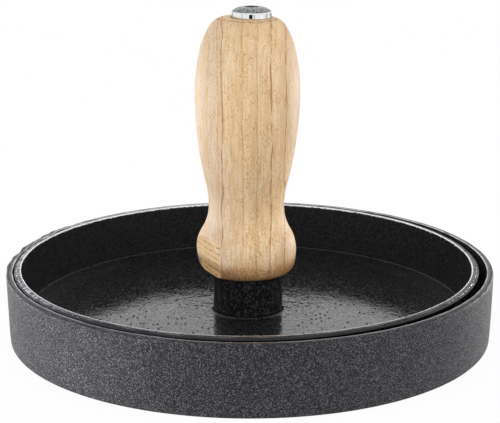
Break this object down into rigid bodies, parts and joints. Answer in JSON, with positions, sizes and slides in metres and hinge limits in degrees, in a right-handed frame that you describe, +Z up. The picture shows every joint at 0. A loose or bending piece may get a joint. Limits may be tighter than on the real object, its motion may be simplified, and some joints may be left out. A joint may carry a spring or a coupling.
{
  "type": "burger press",
  "caption": "Round cast-iron burger press: a shallow base dish and a loose press dish with a turned wooden handle held by a long bolt.",
  "frame": {"origin": "middle of the base dish's underside, on the table", "axes": "+Z up, along the lift of the press; +X to the right and -Y towards the viewer of the picture"},
  "size_m": [0.1524, 0.1524, 0.1023],
  "materials": {
    "base_iron": "fine sand-cast skin, seasoned black, satin",
    "press_iron": "seasoned black, glossy on the floor and inner wall",
    "handle_wood": "pale ash, clear satin lacquer",
    "bolt_metal": "bright plated steel"
  },
  "bodies": {
    "base": {"base_dish": "base_iron"},
    "press": {"press_dish": "press_iron", "handle": "handle_wood", "handle_bolt": "bolt_metal"}
  },
  "joints": [
    {"name": "press_lift", "type": "slide", "parent": "base", "child": "press", "axis": [0, 0, 1], "range_m": [0, 0.05]}
  ]
}
